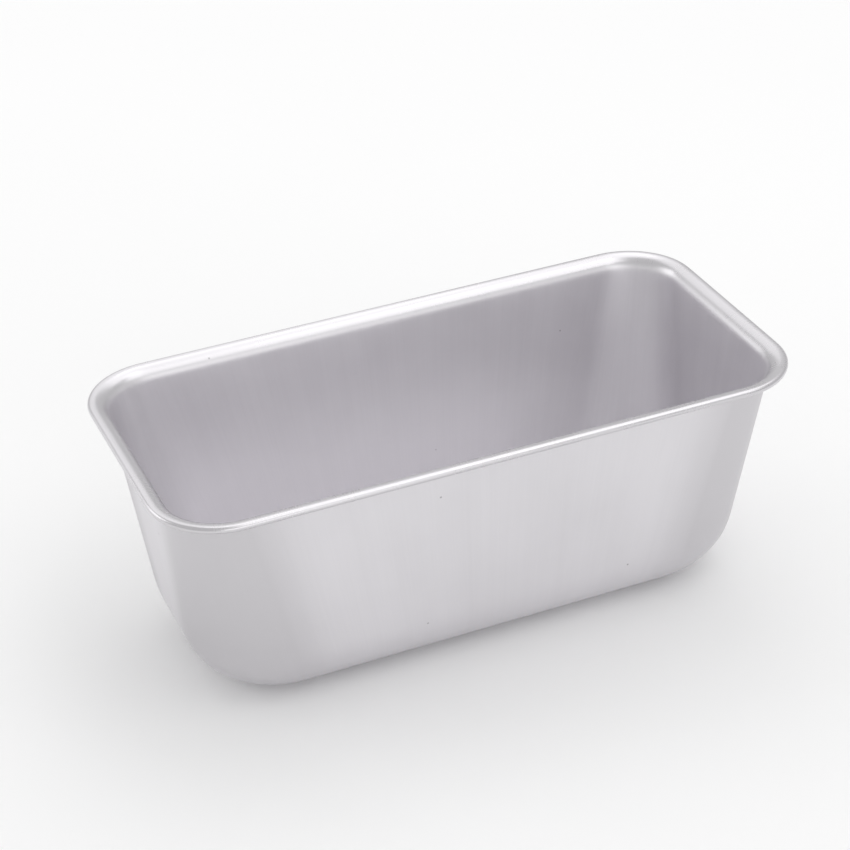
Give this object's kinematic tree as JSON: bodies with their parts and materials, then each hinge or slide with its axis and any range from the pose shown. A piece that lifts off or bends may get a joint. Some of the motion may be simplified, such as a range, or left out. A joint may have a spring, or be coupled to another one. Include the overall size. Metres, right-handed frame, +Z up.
{
  "type": "loaf pan",
  "caption": "Deep drawn loaf pan with tapered walls, rounded corners, a radiused floor and a flared rim curled under round a wire.",
  "frame": {"origin": "centre of the floor's underside, on the surface that the pan stands on", "axes": "+X along the length, +Y across the width, +Z up out of the mouth"},
  "size_m": [0.264, 0.132, 0.101],
  "materials": {
    "pan_aluminium": "satin, natural, with faint upright draw marks",
    "wire_steel": "bright drawn, tinned"
  },
  "bodies": {
    "root": {"pan_body": "pan_aluminium", "rim_wire": "wire_steel"}
  },
  "joints": []
}
